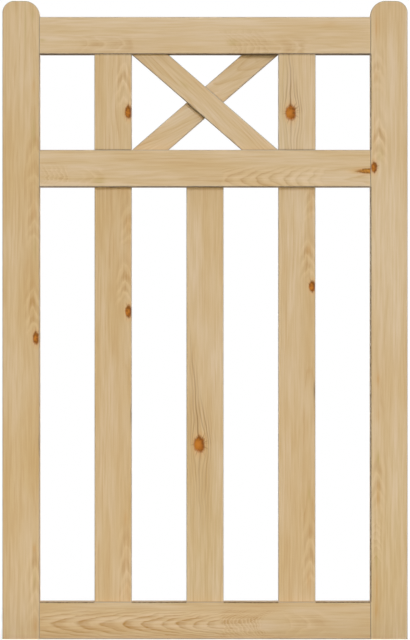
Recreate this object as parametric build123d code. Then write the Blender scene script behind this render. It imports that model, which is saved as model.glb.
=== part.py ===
"""Garden gate leaf: framed in planed softwood, with open bars below and crossed braces above.

Millimetres. X is the width, -Y the front, +Z up. The origin is the bottom centre of the leaf.
"""
from build123d import *
import math
import os

# Driving dimensions of the leaf
LEAF_WIDTH = 762.0
LEAF_HEIGHT = 1200.0
MEMBER_FACE = 70.0  # face width of every stile, rail and bar
FRAME_THICKNESS = 45.0  # stiles, rails and upper bars
BAR_THICKNESS = 20.0  # lower bars
LOWER_BAR_COUNT = 3
MIDDLE_RAIL_BOTTOM = 850.0
TOP_RAIL_BOTTOM = 1100.0
HORN_OUTER_RADIUS = 22.0
HORN_INNER_RADIUS = 28.0
ARRIS_RADIUS = 2.0  # easing of every long edge

# Braces
BRACE_FACE = 45.0
BRACE_THICKNESS = 20.0
BRACE_STEP = 10.0  # the rear brace lies this much behind the front one

# Joinery
TENON_THICKNESS = 15.0
RAIL_TENON_HEIGHT = 44.0
WEDGE_FLARE = 5.0  # how far the mortise widens above and below the tenon at its outer end
WEDGE_LENGTH = 60.0
BAR_TENON_WIDTH = 50.0
BAR_TENON_LENGTH = 20.0
LOWER_TENON_THICKNESS = 12.0

# Fastenings
PEG_RADIUS = 4.0
PEG_LENGTH = 37.5
PEG_SPACING = 24.0
PIN_RADIUS = 1.3
PIN_LENGTH = 32.0
PIN_HEAD_RADIUS = 2.6
PIN_HEAD_THICKNESS = 1.2
DOWEL_RADIUS = 4.0
DOWEL_LENGTH = 40.0
DOWEL_INSET = 43.0  # from the upright bar's edge to the dowel in the brace's end
SCREW_RADIUS = 2.0
SCREW_LENGTH = 25.0
SCREW_POINT_LENGTH = 4.0
SCREW_POINT_RADIUS = 0.4
SCREW_HEAD_RADIUS = 4.2
SCREW_HEAD_DEPTH = 2.4
SCREW_SLOT_LENGTH = 4.4
SCREW_SLOT_WIDTH = 1.0
SCREW_SLOT_DEPTH = 1.4

# Places worked out from the driving dimensions
HALF_WIDTH = LEAF_WIDTH / 2
HALF_THICKNESS = FRAME_THICKNESS / 2
HALF_FACE = MEMBER_FACE / 2
CLEAR_HALF = HALF_WIDTH - MEMBER_FACE
STILE_CENTRE = HALF_WIDTH - HALF_FACE
BAR_GAP = (2 * CLEAR_HALF - LOWER_BAR_COUNT * MEMBER_FACE) / (LOWER_BAR_COUNT + 1)
BAR_PITCH = MEMBER_FACE + BAR_GAP
RAIL_BOTTOMS = {"bottom": 0.0, "middle": MIDDLE_RAIL_BOTTOM, "top": TOP_RAIL_BOTTOM}
UPPER_BARS = {"left": -BAR_PITCH, "right": BAR_PITCH}
LOWER_BARS = {"left": -BAR_PITCH, "centre": 0.0, "right": BAR_PITCH}
LOWER_BAR_SPAN = (MEMBER_FACE, MIDDLE_RAIL_BOTTOM)
PANEL_SPAN = (MIDDLE_RAIL_BOTTOM + MEMBER_FACE, TOP_RAIL_BOTTOM)
SIDES = (-1, 1)

# The panel between the upper bars, which the braces cross from corner to corner
PANEL_HALF_WIDTH = BAR_PITCH - HALF_FACE
PANEL_HEIGHT = PANEL_SPAN[1] - PANEL_SPAN[0]
PANEL_MIDDLE = sum(PANEL_SPAN) / 2
PANEL_DIAGONAL = math.hypot(2 * PANEL_HALF_WIDTH, PANEL_HEIGHT)
BRACE_ANGLE = math.atan2(PANEL_HEIGHT, 2 * PANEL_HALF_WIDTH) + math.asin(BRACE_FACE / PANEL_DIAGONAL)
BRACE_CUT = BRACE_FACE / math.sin(BRACE_ANGLE)  # width of the brace's level end
PAIR_DEPTH = BRACE_THICKNESS + BRACE_STEP
FRONT_BRACE_SPAN = (-PAIR_DEPTH / 2, BRACE_THICKNESS - PAIR_DEPTH / 2)
REAR_BRACE_SPAN = (-FRONT_BRACE_SPAN[1], -FRONT_BRACE_SPAN[0])


def block(x_span, y_span, z_span):
    """A box between two corners."""
    size = [high - low for low, high in (x_span, y_span, z_span)]
    middle = [(low + high) / 2 for low, high in (x_span, y_span, z_span)]
    return Pos(*middle) * Box(*size)


def centred(middle, width):
    """The span of a given width about a middle."""
    return (middle - width / 2, middle + width / 2)


def prism(points, y_span):
    """An outline in the XZ plane, given as (x, z) points, run through a span of Y."""
    outline = Polygon(*points, align=None)
    low, high = y_span
    upright = Plane(origin=(0, (low + high) / 2, 0), x_dir=(1, 0, 0), z_dir=(0, -1, 0))
    return upright * extrude(outline, amount=(high - low) / 2, both=True)


def rod(radius, start, end):
    """A straight round rod between two points."""
    length = (Vector(*end) - Vector(*start)).length
    return Plane(origin=start, z_dir=Vector(*end) - Vector(*start)) * Cylinder(
        radius, length, align=(Align.CENTER, Align.CENTER, Align.MIN)
    )


def eased_bar(x_span, y_span, z_span, axis):
    """A squared timber whose four long edges, along an axis, are eased."""
    timber = block(x_span, y_span, z_span)
    return fillet(timber.edges().filter_by(axis), ARRIS_RADIUS)


def rail_tenon_span(rail):
    """Height span of a rail's tenon."""
    return centred(RAIL_BOTTOMS[rail] + HALF_FACE, RAIL_TENON_HEIGHT)


def pegs(rail):
    """Two pegs at each end of a rail, from the back through the tenon, stopped inside the front cheek."""
    middle = RAIL_BOTTOMS[rail] + HALF_FACE
    made = []
    for side in SIDES:
        for height in centred(middle, PEG_SPACING):
            start = (side * STILE_CENTRE, HALF_THICKNESS, height)
            end = (side * STILE_CENTRE, HALF_THICKNESS - PEG_LENGTH, height)
            made.append(rod(PEG_RADIUS, start, end))
    return made


def wedges(rail):
    """A wedge above and below each through tenon, driven in from the stile's outer edge."""
    low, high = rail_tenon_span(rail)
    tip = HALF_WIDTH - WEDGE_LENGTH
    tip_thickness = WEDGE_FLARE * (tip - CLEAR_HALF) / MEMBER_FACE
    made = []
    for side in SIDES:
        for edge, outward in ((low, -1), (high, 1)):
            points = [
                (side * tip, edge),
                (side * HALF_WIDTH, edge),
                (side * HALF_WIDTH, edge + outward * WEDGE_FLARE),
                (side * tip, edge + outward * tip_thickness),
            ]
            made.append(prism(points, centred(0, TENON_THICKNESS)))
    return made


def pin(x, z):
    """A steel pin with a flat head, driven from the back until its head is flush."""
    head_base = HALF_THICKNESS - PIN_HEAD_THICKNESS
    head = rod(PIN_HEAD_RADIUS, (x, head_base, z), (x, HALF_THICKNESS, z))
    shank = rod(PIN_RADIUS, (x, HALF_THICKNESS - PIN_LENGTH, z), (x, head_base, z))
    return head + shank


def bar_pins(bars, span):
    """One pin through each stub tenon of a row of bars."""
    heights = (span[0] - BAR_TENON_LENGTH / 2, span[1] + BAR_TENON_LENGTH / 2)
    return [pin(x, z) for x in bars.values() for z in heights]


def brace_outline(side):
    """Corners of a brace that starts at the top left (side -1) or the top right (side 1)."""
    bottom, top = PANEL_SPAN
    return [
        (side * PANEL_HALF_WIDTH, top),
        (side * (PANEL_HALF_WIDTH - BRACE_CUT), top),
        (-side * PANEL_HALF_WIDTH, bottom),
        (-side * (PANEL_HALF_WIDTH - BRACE_CUT), bottom),
    ]


def brace_dowels(side, y_span):
    """A dowel standing half in the rail at each end of a brace."""
    x = side * (PANEL_HALF_WIDTH - DOWEL_INSET)
    y = sum(y_span) / 2
    made = []
    for place, z in ((x, PANEL_SPAN[1]), (-x, PANEL_SPAN[0])):
        low, high = centred(z, DOWEL_LENGTH)
        made.append(rod(DOWEL_RADIUS, (place, y, low), (place, y, high)))
    return made


def brace_screw():
    """A countersunk screw through the middle of the crossing, with a cross slot in its head."""
    back = REAR_BRACE_SPAN[1]
    facing_back = Plane(origin=(0, back, PANEL_MIDDLE), x_dir=(1, 0, 0), z_dir=(0, 1, 0))
    half_profile = Polygon(
        (0, 0),
        (SCREW_HEAD_RADIUS, 0),
        (SCREW_RADIUS, -SCREW_HEAD_DEPTH),
        (SCREW_RADIUS, SCREW_POINT_LENGTH - SCREW_LENGTH),
        (SCREW_POINT_RADIUS, -SCREW_LENGTH),
        (0, -SCREW_LENGTH),
        align=None,
    )
    blank = revolve(Plane.XZ * half_profile, Axis.Z)
    slot_align = (Align.CENTER, Align.CENTER, Align.MAX)
    slot = Box(SCREW_SLOT_LENGTH, SCREW_SLOT_WIDTH, SCREW_SLOT_DEPTH, align=slot_align)
    cross = slot + Rot(0, 0, 90) * slot
    return facing_back * blank, facing_back * (blank - cross)


def bar_mortises(bars, shoulder, way, thickness):
    """Pockets for a row of stub tenons that enter a rail at a shoulder's height, upwards (1) or down (-1)."""
    z_span = sorted((shoulder, shoulder + way * BAR_TENON_LENGTH))
    return [block(centred(x, BAR_TENON_WIDTH), centred(0, thickness), z_span) for x in bars.values()]


def stile(side):
    """An upright with a rounded horn, through mortises and peg holes."""
    x_span = sorted((side * CLEAR_HALF, side * HALF_WIDTH))
    timber = block(x_span, centred(0, FRAME_THICKNESS), (0, LEAF_HEIGHT))
    for x, radius in ((HALF_WIDTH, HORN_OUTER_RADIUS), (CLEAR_HALF, HORN_INNER_RADIUS)):
        corner = timber.edges().filter_by(Axis.Y).sort_by_distance((side * x, 0, LEAF_HEIGHT))[0]
        timber = fillet(corner, radius)
    faces = timber.faces().filter_by(Axis.Y)
    timber = fillet([edge for edge in faces.edges() if edge.center().Z > ARRIS_RADIUS], ARRIS_RADIUS)
    for rail in RAIL_BOTTOMS:
        low, high = rail_tenon_span(rail)
        flared = [
            (side * CLEAR_HALF, low),
            (side * HALF_WIDTH, low - WEDGE_FLARE),
            (side * HALF_WIDTH, high + WEDGE_FLARE),
            (side * CLEAR_HALF, high),
        ]
        timber -= prism(flared, centred(0, TENON_THICKNESS))
        for peg in pegs(rail):
            timber -= peg
    return timber


def rail(name, pockets):
    """A rail with its two through tenons, its peg holes and the pockets that its neighbours need."""
    bottom = RAIL_BOTTOMS[name]
    across = centred(0, FRAME_THICKNESS)
    timber = eased_bar((-CLEAR_HALF, CLEAR_HALF), across, (bottom, bottom + MEMBER_FACE), Axis.X)
    timber += block((-HALF_WIDTH, HALF_WIDTH), centred(0, TENON_THICKNESS), rail_tenon_span(name))
    for cutter in pegs(name) + pockets:
        timber -= cutter
    return timber


def bar(x, span, thickness, tenon_thickness, pins):
    """An upright bar with a stub tenon at each end, drilled for its pins."""
    timber = eased_bar(centred(x, MEMBER_FACE), centred(0, thickness), span, Axis.Z)
    tenon_span = (span[0] - BAR_TENON_LENGTH, span[1] + BAR_TENON_LENGTH)
    timber += block(centred(x, BAR_TENON_WIDTH), centred(0, tenon_thickness), tenon_span)
    for cutter in pins:
        timber -= cutter
    return timber


def brace(side, y_span, other_side, notch_span, dowels, screw):
    """A diagonal with eased edges, notched where the other one crosses it."""
    timber = prism(brace_outline(side), y_span)
    along = [edge for edge in timber.edges() if edge.length > PANEL_HEIGHT]
    timber = fillet(along, ARRIS_RADIUS)
    timber -= prism(brace_outline(other_side), notch_span)
    for cutter in [*dowels, screw]:
        timber -= cutter
    return timber


def save(name, shapes):
    """Write one node, a single piece or a group of like pieces."""
    shape = shapes[0] if len(shapes) == 1 else Compound(children=shapes)
    export_step(shape, os.path.join("parts", f"{name}.step"))


def main():
    """Build every piece in place and write it."""
    os.makedirs("parts", exist_ok=True)
    upper_pins = bar_pins(UPPER_BARS, PANEL_SPAN)
    lower_pins = bar_pins(LOWER_BARS, LOWER_BAR_SPAN)
    front_dowels = brace_dowels(-1, FRONT_BRACE_SPAN)
    rear_dowels = brace_dowels(1, REAR_BRACE_SPAN)
    dowels = front_dowels + rear_dowels
    screw_hole, screw = brace_screw()

    upper_feet = bar_mortises(UPPER_BARS, PANEL_SPAN[0], -1, TENON_THICKNESS)
    upper_heads = bar_mortises(UPPER_BARS, PANEL_SPAN[1], 1, TENON_THICKNESS)
    lower_feet = bar_mortises(LOWER_BARS, LOWER_BAR_SPAN[0], -1, LOWER_TENON_THICKNESS)
    lower_heads = bar_mortises(LOWER_BARS, LOWER_BAR_SPAN[1], 1, LOWER_TENON_THICKNESS)

    save("left_stile", [stile(-1)])
    save("right_stile", [stile(1)])
    save("top_rail", [rail("top", upper_heads + upper_pins + dowels)])
    save("middle_rail", [rail("middle", upper_feet + lower_heads + upper_pins + lower_pins + dowels)])
    save("bottom_rail", [rail("bottom", lower_feet + lower_pins)])
    for side, x in UPPER_BARS.items():
        save(f"upper_{side}_bar", [bar(x, PANEL_SPAN, FRAME_THICKNESS, TENON_THICKNESS, upper_pins)])
    for side, x in LOWER_BARS.items():
        save(f"lower_{side}_bar", [bar(x, LOWER_BAR_SPAN, BAR_THICKNESS, LOWER_TENON_THICKNESS, lower_pins)])
    front_notch = (0, FRONT_BRACE_SPAN[1])
    rear_notch = (REAR_BRACE_SPAN[0], 0)
    save("front_brace", [brace(-1, FRONT_BRACE_SPAN, 1, front_notch, front_dowels, screw_hole)])
    save("rear_brace", [brace(1, REAR_BRACE_SPAN, -1, rear_notch, rear_dowels, screw_hole)])
    for name in RAIL_BOTTOMS:
        save(f"{name}_rail_wedges", wedges(name))
        save(f"{name}_rail_pegs", pegs(name))
    save("upper_bar_pins", upper_pins)
    save("lower_bar_pins", lower_pins)
    save("brace_end_dowels", dowels)
    save("brace_screw", [screw])


if __name__ == "__main__":
    main()
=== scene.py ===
"""Looks of the garden gate leaf: planed pine with its own grain and knots on each timber, in a studio."""
import logging
import math
from dataclasses import dataclass, field
from enum import Enum
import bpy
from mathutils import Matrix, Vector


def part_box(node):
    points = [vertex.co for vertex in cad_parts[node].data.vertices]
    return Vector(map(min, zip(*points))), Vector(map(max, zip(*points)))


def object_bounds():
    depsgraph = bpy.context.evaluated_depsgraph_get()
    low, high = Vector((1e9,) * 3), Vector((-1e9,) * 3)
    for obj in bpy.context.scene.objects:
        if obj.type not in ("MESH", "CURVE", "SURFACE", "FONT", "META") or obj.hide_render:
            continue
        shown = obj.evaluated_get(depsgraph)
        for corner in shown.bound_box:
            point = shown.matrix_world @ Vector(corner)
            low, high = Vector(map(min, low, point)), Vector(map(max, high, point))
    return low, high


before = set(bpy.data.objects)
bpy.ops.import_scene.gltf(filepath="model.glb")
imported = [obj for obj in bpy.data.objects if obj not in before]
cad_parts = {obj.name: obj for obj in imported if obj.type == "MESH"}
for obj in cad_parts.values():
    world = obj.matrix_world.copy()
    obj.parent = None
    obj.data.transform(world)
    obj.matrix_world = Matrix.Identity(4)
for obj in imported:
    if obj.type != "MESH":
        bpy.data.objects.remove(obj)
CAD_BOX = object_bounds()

from types import SimpleNamespace as Signals
from typing import ClassVar, Optional, Union

import bmesh
import bpy
from mathutils import Color, Euler, Matrix, Vector

log = logging.getLogger("garden_gate")

Socket = bpy.types.NodeSocket
Value = Union["Signal", Socket, float, tuple]
Inputs = dict[Union[str, int], Value]
Span = tuple[float, float]
Triple = tuple[float, float, float]
Colour = tuple[float, float, float, float]

DISPLAY_STEPS = 255
NOISE_MIDDLE = 0.5
BACKWARD: Triple = (0.0, 1.0, 0.0)


def linear(red: int, green: int, blue: int) -> Colour:
    """Turn a colour written in display steps, from 0 to 255, into the linear one that shaders take."""
    shown = Color((red / DISPLAY_STEPS, green / DISPLAY_STEPS, blue / DISPLAY_STEPS))
    return (*shown.from_srgb_to_scene_linear(), 1.0)


class Grain(Enum):
    """Which way a timber's grain runs on the gate."""

    UPRIGHT = "upright"
    LEVEL = "level"
    FALLING = "falling"
    RISING = "rising"


class StainKind(Enum):
    """What discolours a patch of wood."""

    RESIN = "resin"
    OLIVE = "olive"
    DARK = "dark"


class Signal:
    """A number or a colour that a node puts out. Operators on it add maths nodes."""

    NODE: ClassVar[str] = "Math"

    def __init__(self, graph: "Graph", socket: Socket) -> None:
        """Keep the socket and the graph that it stands in."""
        self.graph = graph
        self.socket = socket

    def make(self, operation: str, *values: Value) -> "Signal":
        """Work something out from signals and constants by a maths node of this signal's kind."""
        made = self.graph.node(self.NODE, dict(enumerate(values)), operation=operation)
        return type(self)(self.graph, made.outputs[0])

    def apply(self, operation: str) -> "Signal":
        """Apply an operation that takes nothing else."""
        return self.make(operation, self)

    def __add__(self, other: Value) -> "Signal":
        """Add something to it."""
        return self.make("ADD", self, other)

    def __sub__(self, other: Value) -> "Signal":
        """Take something from it."""
        return self.make("SUBTRACT", self, other)

    def __rsub__(self, other: Value) -> "Signal":
        """Take it from a constant."""
        return self.make("SUBTRACT", other, self)

    def __mul__(self, other: Value) -> "Signal":
        """Multiply it."""
        return self.make("MULTIPLY", self, other)

    def __truediv__(self, other: Value) -> "Signal":
        """Divide it."""
        return self.make("DIVIDE", self, other)

    def __rtruediv__(self, other: Value) -> "Signal":
        """Divide a constant by it."""
        return self.make("DIVIDE", other, self)

    def __pow__(self, other: Value) -> "Signal":
        """Raise it to a power."""
        return self.make("POWER", self, other)

    def __neg__(self) -> "Signal":
        """Change its sign."""
        return self * -1.0

    def __abs__(self) -> "Signal":
        """Drop its sign."""
        return self.apply("ABSOLUTE")

    def at_least(self, least: Value) -> "Signal":
        """Keep it from falling below another value."""
        return self.make("MAXIMUM", self, least)

    def bell(self) -> "Signal":
        """Return its bell curve: 1 at nought, falling smoothly to 0 on both sides."""
        return (-(self * self)).apply("EXPONENT")

    def ease(self, low: Value, high: Value, start: Value = 0.0, end: Value = 1.0) -> "Signal":
        """Ease it smoothly from one range into another.

        Args:
            low: Where the easing starts.
            high: Where it ends.
            start: Result where it starts.
            end: Result where it ends.

        Returns:
            The eased number.
        """
        inputs = {"Value": self, "From Min": low, "From Max": high, "To Min": start, "To Max": end}
        made = self.graph.node("MapRange", inputs, interpolation_type="SMOOTHSTEP")
        return Signal(self.graph, made.outputs["Result"])

    def between(self, start: Value, end: Value) -> "Signal":
        """Ease a number from 0 to 1 into another range."""
        return self.ease(0.0, 1.0, start, end)

    def curve(self, stops: list[Span]) -> "Signal":
        """Shape a number from 0 to 1 by a smooth line through a few stops.

        Args:
            stops: Places and heights: the first place, the last one, then those between.

        Returns:
            The shaped number.
        """
        made = self.graph.node("ValToRGB", {0: self})
        ramp = made.color_ramp
        ramp.interpolation = "EASE"
        ends = len(ramp.elements)
        for index, (place, height) in enumerate(stops):
            stop = ramp.elements[index] if index < ends else ramp.elements.new(place)
            stop.position = place
            stop.color = (height, height, height, 1.0)
        return Signal(self.graph, made.outputs[0])


class VectorSignal(Signal):
    """A vector that a node puts out, or a colour taken as one. Its operators work on each number in it."""

    NODE = "VectorMath"

    def measure(self, operation: str, *others: Value) -> Signal:
        """Apply an operation that gives a plain number."""
        made = self.make(operation, self, *others)
        return Signal(self.graph, made.socket.node.outputs["Value"])

    def length(self) -> Signal:
        """Return its length."""
        return self.measure("LENGTH")

    def dot(self, other: Value) -> Signal:
        """Return how far it goes along another vector."""
        return self.measure("DOT_PRODUCT", other)

    def parts(self) -> tuple[Signal, ...]:
        """Split it into its three numbers."""
        made = self.graph.node("SeparateXYZ", {0: self})
        return tuple(Signal(self.graph, output) for output in made.outputs)


class Graph:
    """Adds shader nodes to one node tree and links them."""

    def __init__(self, tree: bpy.types.NodeTree) -> None:
        """Keep the tree that the nodes go into, and empty it."""
        self.tree = tree
        tree.nodes.clear()

    def node(self, kind: str, inputs: Optional[Inputs] = None, **settings: object) -> bpy.types.Node:
        """Add a node.

        Args:
            kind: Node type name, without its ShaderNode prefix.
            inputs: What feeds its inputs, by their names or numbers.
            **settings: Properties to set on the node.

        Returns:
            The new node.
        """
        made = self.tree.nodes.new("ShaderNode" + kind)
        for name, setting in settings.items():
            setattr(made, name, setting)
        for key, value in (inputs or {}).items():
            self.feed(made.inputs[key], value)
        return made

    def feed(self, socket: Socket, value: Value) -> None:
        """Link a socket, or set its plain value.

        Args:
            socket: The socket to feed.
            value: A signal, another socket or a constant.
        """
        source = value.socket if isinstance(value, Signal) else value
        if isinstance(source, Socket):
            self.tree.links.new(source, socket)
        else:
            socket.default_value = source

    def wrap(self, socket: Socket) -> Signal:
        """Make a signal of a node's output."""
        return VectorSignal(self, socket) if socket.type == "VECTOR" else Signal(self, socket)

    def outputs(self, node: bpy.types.Node, names: tuple[str, ...]) -> Signals:
        """Return a node's outputs, in their order, as signals with these names."""
        return Signals(**{name: self.wrap(socket) for name, socket in zip(names, node.outputs)})

    def read(self, kind: str, output: str) -> Signal:
        """Add a node that takes nothing, and return one of its outputs."""
        return self.wrap(self.node(kind).outputs[output])

    def join(self, *parts: Value) -> VectorSignal:
        """Join three numbers into a vector."""
        return VectorSignal(self, self.node("CombineXYZ", dict(enumerate(parts))).outputs[0])

    def blend(self, factor: Value, low: Value, high: Value, mode: str = "MIX") -> Signal:
        """Mix two colours.

        Args:
            factor: Share of the second colour.
            low: First colour.
            high: Second colour.
            mode: Blender's name of the mixing mode.

        Returns:
            The mixed colour.
        """
        made = self.node("Mix", data_type="RGBA", blend_type=mode, clamp_factor=True)
        for name, value in (("Factor_Float", factor), ("A_Color", low), ("B_Color", high)):
            socket = next(item for item in made.inputs if item.identifier == name)
            self.feed(socket, value)
        return Signal(self, next(item for item in made.outputs if item.identifier == "Result_Color"))

    def noise(
        self, vector: VectorSignal, scale: Triple, detail: float = 2.0, rough: float = 0.5
    ) -> bpy.types.Node:
        """Add noise of so many waves per metre along each axis, with finer octaves in it."""
        inputs = {"Vector": vector * scale, "Scale": 1.0, "Detail": detail, "Roughness": rough}
        return self.node("TexNoise", inputs, noise_dimensions="3D")

    def haze(self, *settings: Value) -> Signal:
        """Return noise from 0 to 1, from the settings that noise takes."""
        return Signal(self, self.noise(*settings).outputs[0])

    def sway(self, *settings: Value) -> Signal:
        """Return noise to both sides of nought, from the settings that noise takes."""
        return self.haze(*settings) - NOISE_MIDDLE

    def drift(self, *settings: Value) -> VectorSignal:
        """Return a vector of such noises, from the settings that noise takes."""
        return VectorSignal(self, self.noise(*settings).outputs[1]) - (NOISE_MIDDLE,) * 3

    def chance(self, count: Signal, seed: Optional[Value] = None) -> Signal:
        """Draw a number from 0 to 1 for each whole number.

        Args:
            count: The whole number.
            seed: Which set of draws, where there is more than one.

        Returns:
            The number drawn, the same one every time.
        """
        if seed is None:
            made = self.node("TexWhiteNoise", {"W": count}, noise_dimensions="1D")
        else:
            place = self.join(count, seed, 0.0)
            made = self.node("TexWhiteNoise", {"Vector": place}, noise_dimensions="2D")
        return Signal(self, made.outputs["Value"])

    def surface(self, inputs: Inputs) -> None:
        """Give the material its shader, fed with these inputs."""
        shader = self.node("BsdfPrincipled", inputs)
        self.node("OutputMaterial", {"Surface": shader.outputs[0]})


def blank(name: str) -> tuple[bpy.types.Material, Graph]:
    """Make a material without nodes.

    Args:
        name: The material's name.

    Returns:
        The material and its graph.
    """
    material = bpy.data.materials.new(name)
    material.use_nodes = True
    return material, Graph(material.node_tree)


class Effect:
    """A shader node group that is built once and placed in each material that wants it.

    Among the constants of an effect, a tuple that starts with three numbers for the axes holds what noise
    takes, and other pairs and fours are the ranges of an easing.
    """

    NAME: ClassVar[str] = "effect"
    VECTORS_IN: ClassVar[tuple[str, ...]] = ()
    NUMBERS_IN: ClassVar[tuple[str, ...]] = ()
    VECTORS_OUT: ClassVar[tuple[str, ...]] = ()
    NUMBERS_OUT: ClassVar[tuple[str, ...]] = ()

    def wire(self, graph: Graph, given: Signals) -> dict[str, Signal]:
        """Build the group's own nodes.

        Args:
            graph: The group's graph.
            given: The group's inputs by name.

        Returns:
            The group's outputs by name.
        """
        raise NotImplementedError

    def tree(self) -> bpy.types.NodeTree:
        """Build the group, the first time.

        Returns:
            The group's tree.
        """
        found = bpy.data.node_groups.get(self.NAME)
        if found:
            return found
        made = bpy.data.node_groups.new(self.NAME, "ShaderNodeTree")
        graph = Graph(made)
        sides = (
            ("INPUT", self.VECTORS_IN, self.NUMBERS_IN),
            ("OUTPUT", self.VECTORS_OUT, self.NUMBERS_OUT),
        )
        for side, vectors, numbers in sides:
            for name in vectors + numbers:
                kind = "NodeSocketVector" if name in vectors else "NodeSocketFloat"
                made.interface.new_socket(name.replace("_", " ").title(), in_out=side, socket_type=kind)
        source = made.nodes.new("NodeGroupInput")
        sink = made.nodes.new("NodeGroupOutput")
        results = self.wire(graph, graph.outputs(source, self.VECTORS_IN + self.NUMBERS_IN))
        for name, socket in zip(self.VECTORS_OUT + self.NUMBERS_OUT, sink.inputs):
            graph.feed(socket, results[name])
        return made

    def place(self, graph: Graph, mark: Optional[object] = None, **values: Value) -> Signals:
        """Place the group in a material.

        Args:
            graph: The material's graph.
            mark: What the group draws. Its fields give the inputs of the same names.
            **values: The other inputs by name.

        Returns:
            The group's outputs by name.
        """
        names = self.VECTORS_IN + self.NUMBERS_IN
        found = [values[name] if name in values else getattr(mark, name) for name in names]
        made = graph.node("Group", dict(enumerate(found)), node_tree=self.tree())
        return graph.outputs(made, self.VECTORS_OUT + self.NUMBERS_OUT)


class KnotEffect(Effect):
    """A branch that crosses a board: it parts and lifts the grain and shows as a dark resinous oval."""

    NAME = "knot"
    VECTORS_IN = ("board", "flow", "centre", "half_size")
    NUMBERS_IN = ("parting", "lift", "reach", "split", "lean", "age")
    VECTORS_OUT = ("flow",)
    NUMBERS_OUT = ("swell", "core", "depth", "bark", "spike", "glow", "lines")
    SOFTENING = 0.75
    LIFT_WIDTH = 0.3
    LIFT_WAVE = (55.0, 55.0, 30.0)
    LIFT_UNEVEN = 0.7
    CORNERS = ((1.5,) * 3, 1.0)
    CORNER_SHARE = 0.5
    RAGGED = ((380.0,) * 3, 3.0, 0.6)
    RAGGED_SHARE = 0.42
    EDGE = (1.26, 0.74)
    HEART = (0.15, 1.0)
    HEART_SHIFT = 0.3
    BARK = (0.15, 0.95)
    BARK_WAVE = (260.0,) * 3
    BARK_SHARE = 2.2
    SHADE_NEAR = 0.6
    SHADE_WAY = (0.28, 0.0, 0.22)
    RAYS = ((3.6,) * 3, 1.0)
    RAY_WIDTH = (0.56, 0.66)
    RAY_REACH = (2.0, 0.95)
    GLOW = (1.2, 0.3)
    GLOW_WIDTH = (0.62, 0.0, 0.55)
    LINE_PITCH = 0.0052
    LINE_SHARE = 0.25
    LINE_COUNT = 3.4
    LINE_STRENGTH = (0.5, 1.0)
    LINE_STRETCH = 1.5
    LINE_CLOSEST = 0.01
    LINE_LEAST_GAP = 0.25
    LINE_WAVE = ((30.0, 30.0, 22.0), 1.0)
    LINE_SWAY = 0.008
    LINE_OUTERMOST = 3.0
    LINE_SHORTEST = 0.35
    LINE_BELOW = 0.9
    FAINT_BELOW = 0.5

    def wire(self, graph: Graph, given: Signals) -> dict[str, Signal]:
        """Part and lift the flow round the branch, and mark its core and what shows round it.

        Args:
            graph: The group's graph.
            given: The group's inputs by name.

        Returns:
            The group's outputs by name.
        """
        offset = given.board - given.centre
        across, _, _ = offset.parts()
        ratio = offset / given.half_size
        side, _, up = ratio.parts()
        reached = up / given.reach
        far = graph.join(side, 0.0, reached).length()
        push = across * given.parting / (far * far + self.SOFTENING)
        wide = graph.join(side * self.LIFT_WIDTH, 0.0, reached).length()
        swell = (wide + graph.sway(given.board, self.LIFT_WAVE) * self.LIFT_UNEVEN).bell()

        flat = graph.join(side, 0.0, up)
        near = flat.length()
        way = flat.apply("NORMALIZE") + given.centre
        angular = graph.sway(way, *self.CORNERS) * self.CORNER_SHARE
        rough = graph.sway(given.board, *self.RAGGED) * self.RAGGED_SHARE
        edge = near + (angular + rough)
        heart = graph.join(side + self.HEART_SHIFT, 0.0, up).length()
        patches = graph.sway(given.board, self.BARK_WAVE) * self.BARK_SHARE
        shade = near * self.SHADE_NEAR + ratio.dot(self.SHADE_WAY)
        rays = graph.haze(way, *self.RAYS).ease(*self.RAY_WIDTH)
        halo = (ratio * self.GLOW_WIDTH).length()
        return {
            "flow": given.flow + graph.join(-push, swell * given.lift, 0.0),
            "swell": swell,
            "core": edge.ease(*self.EDGE),
            "depth": (heart + rough).ease(*self.HEART),
            "bark": (shade + (given.age + patches)).ease(*self.BARK),
            "spike": rays * edge.ease(*self.RAY_REACH),
            "glow": (halo + rough).ease(*self.GLOW),
            "lines": self.crowded(graph, given, offset, ratio),
        }

    def crowded(self, graph: Graph, given: Signals, offset: VectorSignal, ratio: VectorSignal) -> Signal:
        """Draw the few dark fibres that run at the branch and part round it, as water does round a pile.

        Args:
            graph: The group's graph.
            given: The group's inputs by name.
            offset: Distance from the branch.
            ratio: The same as a share of the branch's half size.

        Returns:
            How dark the fibre is.
        """
        across, _, along = offset.parts()
        side, _, up = ratio.parts()
        away = graph.join(side, 0.0, up / self.LINE_STRETCH).length()
        blocked = 1.0 / (away * away).at_least(self.LINE_CLOSEST)
        gap = (1.0 - blocked).at_least(self.LINE_LEAST_GAP)
        leant = across - along.at_least(0.0) * given.lean
        strayed = leant + graph.sway(given.board, *self.LINE_WAVE) * self.LINE_SWAY
        count = strayed * gap / self.LINE_PITCH
        nearest = count.apply("ROUND")
        missed = (count - nearest) / (gap * self.LINE_SHARE)
        strength = graph.chance(nearest).between(*self.LINE_STRENGTH)
        middle = (count / self.LINE_COUNT).bell()
        reach = given.split * abs(nearest).ease(0.0, self.LINE_OUTERMOST, 1.0, self.LINE_SHORTEST)
        above = along.ease(reach, 0.0)
        below = (-along).ease(given.split * self.LINE_BELOW, 0.0)
        fainter = along.ease(-self.LINE_PITCH, self.LINE_PITCH, self.FAINT_BELOW, 1.0)
        return missed.bell() * strength * middle * above * below * fainter


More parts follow.
